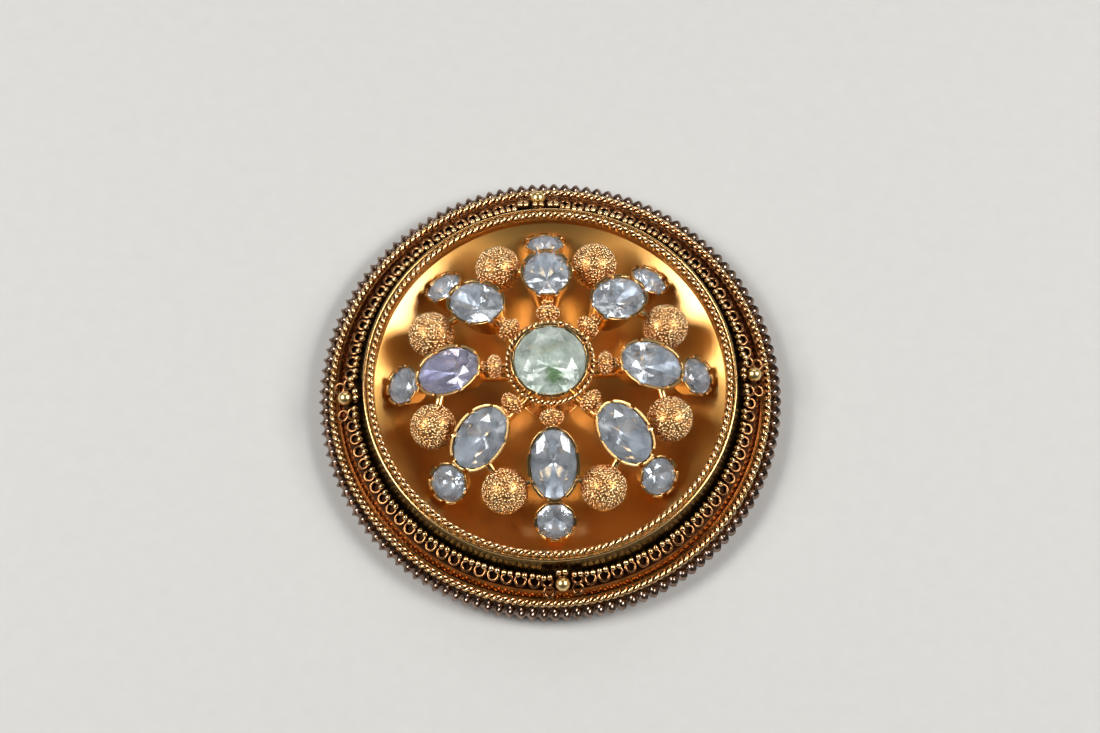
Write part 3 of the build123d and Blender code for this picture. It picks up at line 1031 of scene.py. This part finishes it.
def granulated_ball(number, granule, ringlet, dark):
    """A ball covered with tiny wire rings and granules, turned and sown unlike the other balls."""
    node = f"gold_ball_{number}"
    low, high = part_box(node)
    core = (high.z - low.z) / 2 - sizes().granule * GRANULE_STANDS
    deselect()
    bpy.ops.mesh.primitive_ico_sphere_add(
        subdivisions=5, radius=core, location=(low + high) / 2, rotation=(0.3 * number, 0.5, 0.9 * number)
    )
    base = paint(smooth(settle(named(f"ball_{number}")), ROUND), dark)
    grains = sown(base, granule, sizes().granule * BALL_PACKING, 11 * number)
    rings = sown(base, ringlet, sizes().ringlet * BALL_PACKING, 7 * number + 3, RINGLET_LEAN)
    piece = joined([base, rings, grains], f"granulated_ball_{number}")
    return finish_piece(piece, "gilt_wirework", node)


def granulated_bead(number, granule, dark):
    """A small bead on its pin, broad beside the rope, with a small knob towards the oval."""
    node = f"bead_{number}"
    centre = middle_of(node)
    low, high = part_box(node)
    reach = hypot(centre.x, centre.y)
    turn = atan2(centre.y, centre.x)
    across = (high.z - low.z) / 2
    knob = across * KNOB
    deselect()
    bpy.ops.mesh.primitive_uv_sphere_add(segments=24, ring_count=12, radius=across * BEAD_CORE)
    base = bpy.context.object
    base.scale = (BEAD_FLAT, 1.0, 1.0)
    base.location = (reach, 0, centre.z)
    settle(base)
    deselect()
    bpy.ops.mesh.primitive_uv_sphere_add(
        segments=16, ring_count=8, radius=knob * KNOB_CORE,
        location=(reach + across * KNOB_ROOT + knob * KNOB_OUT, 0, centre.z),
    )
    tip = settle(bpy.context.object)
    base = paint(smooth(joined([base, tip], f"bead_{number}_core"), ROUND), dark)
    grains = sown(base, granule, sizes().bead_granule * BEAD_PACKING, 5 * number + 1)
    piece = joined([base, grains], f"granulated_bead_{number}")
    turned(piece, turn)
    return finish_piece(piece, "gilt_wirework", node)


def stone_names():
    names = ["centre_stone"]
    names += [f"oval_stone_{number + 1}" for number in range(PETALS)]
    names += [f"tip_stone_{number + 1}" for number in range(PETALS)]
    return names


def table_axis(node):
    """The way a stone's table faces: the normal of its largest flat facet that looks up."""
    facets = []
    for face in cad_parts[node].data.polygons:
        if face.normal.z < TABLE_LOOKS_UP:
            continue
        for facet in facets:
            if facet[0].dot(face.normal) > SAME_FACET:
                facet[1] += face.area
                break
        else:
            facets.append([face.normal.copy(), face.area])
    return max(facets, key=lambda facet: facet[1])[0]


def foil_behind(node):
    """A thin foil cup right behind a stone's lower facets."""
    piece = copy_of_node(node, f"foil_{node}")
    axis = table_axis(node)
    take(piece)
    bpy.ops.object.mode_set(mode="EDIT")
    bpy.ops.mesh.select_mode(type="FACE")
    bpy.ops.mesh.select_all(action="DESELECT")
    bpy.ops.object.mode_set(mode="OBJECT")
    for face in piece.data.polygons:
        face.select = face.normal.dot(axis) > LOWER_SIDE
    bpy.ops.object.mode_set(mode="EDIT")
    bpy.ops.mesh.delete(type="FACE")
    bpy.ops.mesh.select_all(action="SELECT")
    bpy.ops.transform.shrink_fatten(value=sizes().foil)
    bpy.ops.object.mode_set(mode="OBJECT")
    modify(piece, "SOLIDIFY", thickness=sizes().foil, offset=1.0)
    return piece


def lay_floor():
    deselect()
    bpy.ops.mesh.primitive_plane_add(size=FLOOR_SIDE)
    floor = paint(named("floor"), floor_paint())


def light_sky():
    world = bpy.data.worlds.new("dim studio")
    world.use_nodes = True
    bpy.context.scene.world = world
    backdrop = world.node_tree.nodes["Background"]
    backdrop.inputs["Color"].default_value = linear(colours().sky)
    backdrop.inputs["Strength"].default_value = SKY_STRENGTH


def hang_soft_boxes():
    """Rectangular lights that face the brooch."""
    for box in SOFT_BOXES:
        deselect()
        bpy.ops.object.light_add(type="AREA", location=box.place)
        light = named(box.name)
        light.data.shape = "RECTANGLE"
        light.data.size = box.width
        light.data.size_y = box.depth
        light.data.energy = box.watts
        light.rotation_euler = (-Vector(box.place)).to_track_quat("-Z", "Y").to_euler()


def set_camera():
    """A camera that leans towards the viewer and aims a little above the middle of the rim."""
    tilt = sizes().camera_tilt
    rim_middle = Vector((0, 0, RIM.height))
    back = Vector((0, -sin(tilt), cos(tilt)))
    upwards = Vector((0, cos(tilt), sin(tilt)))
    aim = rim_middle + upwards * sizes().aim_above_rim
    deselect()
    bpy.ops.object.camera_add(location=rim_middle + back * sizes().camera_distance)
    camera = named("camera")
    camera.rotation_euler = (aim - camera.location).to_track_quat("-Z", "Y").to_euler()
    camera.data.lens = sizes().lens
    camera.data.sensor_width = SENSOR_WIDTH
    bpy.context.scene.camera = camera


class BROOCH_OT_stage(bpy.types.Operator):
    """Set the floor, the soft lights and the camera"""

    bl_idname = "brooch.stage"
    bl_label = "Stage"

    def execute(self, context):
        lay_floor()
        light_sky()
        hang_soft_boxes()
        # Gold keeps its hue in its highlights under the plain sRGB view
        context.scene.view_settings.view_transform = "Standard"
        set_camera()
        return {"FINISHED"}


class BROOCH_OT_sheet_metal(bpy.types.Operator):
    """Gild the dish, the wall, the back case and the pin"""

    bl_idname = "brooch.sheet_metal"
    bl_label = "Dish, wall and back"

    def execute(self, context):
        satin = satin_gilding()
        polish = polished_gilding()
        for node, material in (
            ("dish", satin), ("back_case", satin), ("pin_stem", polish), ("catch", polish),
        ):
            piece = smooth(copy_of_node(node, f"gilt_{node}"), SHEET_CREASE)
            paint(piece, material)
            finish_piece(piece, "gilt_sheet", node)
        wall = smooth(copy_of_node("border_wall", "gilt_border_wall"), SHEET_CREASE)
        # The seat under the small rings is near-black for patina and painted shade
        paint(wall, wall_gilding(), seat_shade_and_patina(), shoulder_gilding(), cup_gilding())
        seat, shoulder, highlit_lip = 1, 2, 3
        seat_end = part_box("ring_chain")[1].x
        seat_start = seat_end - sizes().band_width
        for face in wall.data.polygons:
            reach = hypot(face.center.x, face.center.y)
            # The lip's band of bright cup gilding is a painted highlight
            if face.center.z > RIM.height - HIGHLIGHT_LIP_DEPTH:
                face.material_index = highlit_lip
            elif reach > seat_end:
                face.material_index = shoulder
            elif reach > seat_start and face.normal.z > SEAT_LEVEL:
                face.material_index = seat
        finish_piece(wall, "gilt_sheet", "border_wall")
        return {"FINISHED"}


class BROOCH_OT_ropes(bpy.types.Operator):
    """Twist the three ropes of two wires"""

    bl_idname = "brooch.ropes"
    bl_label = "Ropes"

    def execute(self, context):
        bright = wirework_gilding()
        for name, ring, turns in (
            ("rim_rope", RIM, sizes().rim_rope_turns),
            ("edge_rope", EDGE, sizes().edge_rope_turns),
            ("centre_rope", CENTRE, sizes().centre_rope_turns),
        ):
            piece = paint(twisted_rope(f"{name}_strands", ring, turns), bright)
            finish_piece(piece, "gilt_wirework", name)
        return {"FINISHED"}


class BROOCH_OT_coil(bpy.types.Operator):
    """Twist the strip round the outer edge"""

    bl_idname = "brooch.coil"
    bl_label = "Outer coil"

    def execute(self, context):
        piece = twisted_strip("edge_coil_strip", COIL, sizes().coil_strip, sizes().coil_turns)
        paint(piece, worn_wire())
        finish_piece(piece, "dark_wire", "edge_coil")
        return {"FINISHED"}


class BROOCH_OT_ring_chain(bpy.types.Operator):
    """Solder the band of small rings and those round the quarter grains"""

    bl_idname = "brooch.ring_chain"
    bl_label = "Ring chain"

    def execute(self, context):
        low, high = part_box("ring_chain")
        slope = sizes().seat_slope
        thickness = (high.z - low.z - sizes().band_width * sin(slope)) / cos(slope)
        radius = high.x - (sizes().band_width * cos(slope) + thickness * sin(slope)) / 2
        # The rings take a darker wire than their granules, for browning and painted shade
        wire = browned_shaded_ring_wire()
        bright = wirework_gilding()
        link = chain_link(-thickness / 2, wire, bright)
        setting = grain_setting(-thickness / 2, wire, bright)
        first_grain = middle_of("quarter_grain_1")
        chain_values = {
            "Shape": link, "Count": sizes().link_count, "Radius": radius, "Seed": 4,
            "Lean": sizes().link_askew, "Every": sizes().link_count // QUARTERS,
            "Left out": GRAIN_PLACES,
        }
        chain = run_group(copy_of(link), circle_group(), chain_values)
        setting_values = {
            "Shape": setting, "Count": QUARTERS, "Radius": radius, "Seed": 2, "Lean": SETTING_LEAN,
            "Every": 1, "Left out": 0,
        }
        settings = run_group(copy_of(setting), circle_group(), setting_values)
        piece = joined([chain, settings], "ring_chain_links")
        bpy.data.objects.remove(link)
        bpy.data.objects.remove(setting)
        piece.location.z = (low.z + high.z) / 2
        turned(settle(piece), atan2(first_grain.y, first_grain.x))
        finish_piece(piece, "gilt_wirework", "ring_chain")
        return {"FINISHED"}


class BROOCH_OT_quarter_grains(bpy.types.Operator):
    """Set the four polished grains on the ring chain"""

    bl_idname = "brooch.quarter_grains"
    bl_label = "Quarter grains"

    def execute(self, context):
        polish = polished_gilding()
        for number in range(1, QUARTERS + 1):
            node = f"quarter_grain_{number}"
            low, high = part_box(node)
            deselect()
            bpy.ops.mesh.primitive_uv_sphere_add(
                segments=32, ring_count=16, radius=(high.z - low.z) / 2, location=(low + high) / 2
            )
            piece = paint(smooth(settle(named(f"polished_grain_{number}")), ROUND), polish)
            finish_piece(piece, "gilt_wirework", node)
        return {"FINISHED"}


class BROOCH_OT_flower_metal(bpy.types.Operator):
    """Gild the cups, pins and post of the flower"""

    bl_idname = "brooch.flower_metal"
    bl_label = "Cups and pins"

    def execute(self, context):
        piece = smooth(copy_of_node("cluster_frame", "flower_cups"), CUP_CREASE)
        paint(piece, cup_gilding())
        finish_piece(piece, "gilt_wirework", "cluster_frame")
        return {"FINISHED"}


class BROOCH_OT_balls(bpy.types.Operator):
    """Cover the large balls and the small beads with granules"""

    bl_idname = "brooch.balls"
    bl_label = "Balls and beads"

    def execute(self, context):
        bright = wirework_gilding()
        # Base under the granules, with painted shade between them
        dark = ball_gilding()
        granule = granule_shape(sizes().granule, bright)
        ringlet = ringlet_shape(sizes().ringlet, sizes().ringlet_wire, bright)
        bead_granule = granule_shape(sizes().bead_granule, bright)
        for number in range(1, PETALS + 1):
            granulated_ball(number, granule, ringlet, dark)
            granulated_bead(number, bead_granule, dark)
        for shape in (granule, ringlet, bead_granule):
            bpy.data.objects.remove(shape)
        return {"FINISHED"}


class BROOCH_OT_stones(bpy.types.Operator):
    """Give the stones their beryl and back them with foil"""

    bl_idname = "brooch.stones"
    bl_label = "Stones"

    def execute(self, context):
        pale, lilac, green = pale_stone(), lilac_stone(), green_stone()
        foil = silver_foil()
        for node in stone_names():
            material = pale
            if node == "centre_stone":
                material = green
            if node == LILAC_NODE:
                material = lilac
            paint(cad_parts[node], material)
            piece = paint(foil_behind(node), foil)
            finish_piece(piece, "green_stone" if node == "centre_stone" else "blue_stone")
        return {"FINISHED"}


class BROOCH_PT_panel(bpy.types.Panel):
    """The brooch's steps, in the order that they are made"""

    bl_idname = "BROOCH_PT_panel"
    bl_label = "Brooch"
    bl_space_type = "VIEW_3D"
    bl_region_type = "UI"
    bl_category = "Brooch"

    def draw(self, context):
        for operator in STEPS:
            self.layout.operator(operator.bl_idname)
        for group in (context.scene.brooch_sizes, context.scene.brooch_colours):
            for name in group.bl_rna.properties.keys():
                if name not in ("rna_type", "name"):
                    self.layout.prop(group, name)


STEPS = (
    BROOCH_OT_stage,
    BROOCH_OT_sheet_metal,
    BROOCH_OT_ropes,
    BROOCH_OT_coil,
    BROOCH_OT_ring_chain,
    BROOCH_OT_quarter_grains,
    BROOCH_OT_flower_metal,
    BROOCH_OT_balls,
    BROOCH_OT_stones,
)
CLASSES = (BroochSizes, BroochColours, *STEPS, BROOCH_PT_panel)


def register():
    for kind in CLASSES:
        bpy.utils.register_class(kind)
    bpy.types.Scene.brooch_sizes = bpy.props.PointerProperty(type=BroochSizes)
    bpy.types.Scene.brooch_colours = bpy.props.PointerProperty(type=BroochColours)


def unregister():
    del bpy.types.Scene.brooch_colours
    del bpy.types.Scene.brooch_sizes
    for kind in reversed(CLASSES):
        bpy.utils.unregister_class(kind)


def main():
    register()
    bpy.ops.brooch.stage()
    bpy.ops.brooch.sheet_metal()
    bpy.ops.brooch.ropes()
    bpy.ops.brooch.coil()
    bpy.ops.brooch.ring_chain()
    bpy.ops.brooch.quarter_grains()
    bpy.ops.brooch.flower_metal()
    bpy.ops.brooch.balls()
    bpy.ops.brooch.stones()


if __name__ == "__main__":
    main()
